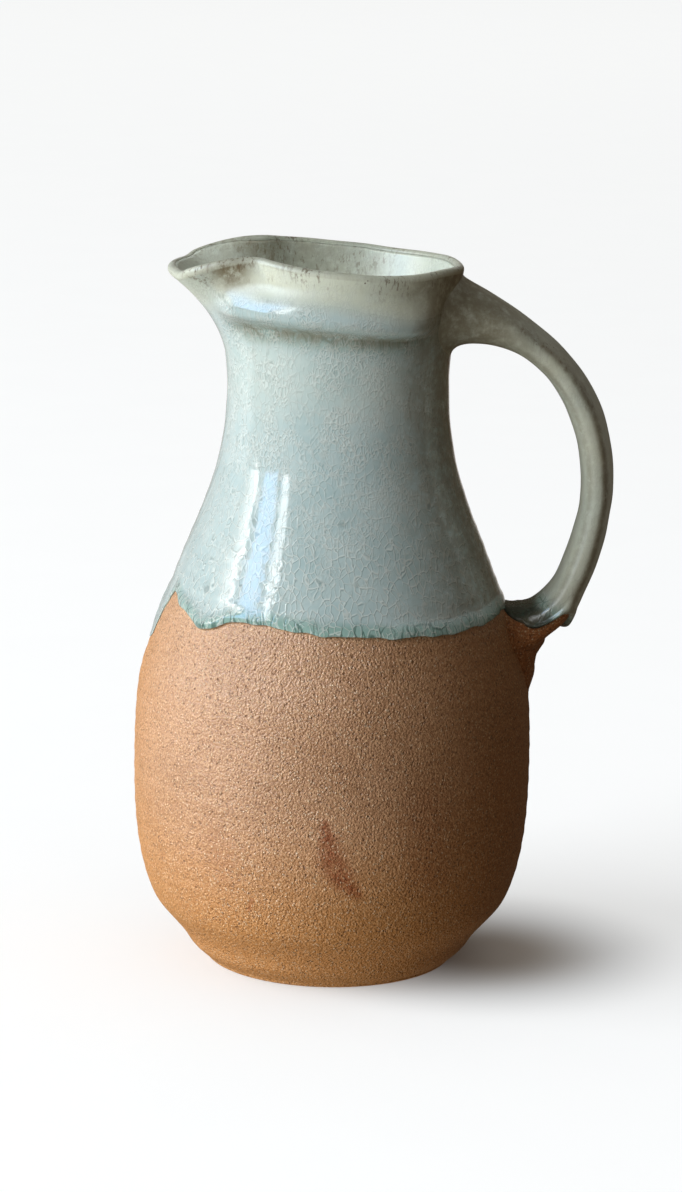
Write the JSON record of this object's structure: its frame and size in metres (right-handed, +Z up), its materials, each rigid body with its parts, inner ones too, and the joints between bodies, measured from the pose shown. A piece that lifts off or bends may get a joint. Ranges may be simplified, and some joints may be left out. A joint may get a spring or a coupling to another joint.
{
  "type": "stoneware pouring jug",
  "caption": "Hand-thrown stoneware pouring jug with a bare clay belly, a pale crackle glaze on its upper half, a tilted collar with a pulled spout and a strap handle.",
  "frame": {"origin": "centre of the flat base, on the turning axis of the body", "axes": "+Z up along the turning axis, -X towards the spout, +X towards the handle"},
  "size_m": [0.1765, 0.148, 0.2677],
  "materials": {
    "stoneware": "bare fired sandy clay, matt, fine grog speckle and faint throwing lines",
    "outer_glaze": "glossy pale grey-green crackle glaze, buff where thin and sea green where it gathers",
    "liner_glaze": "glossy ivory crackle glaze"
  },
  "bodies": {
    "root": {"stoneware_body": "stoneware", "pouring_collar": "stoneware", "handle_strap": "stoneware", "handle_tail": "stoneware", "shoulder_glaze": "outer_glaze", "collar_glaze": "outer_glaze", "handle_glaze": "outer_glaze", "liner_glaze": "liner_glaze"}
  },
  "joints": []
}
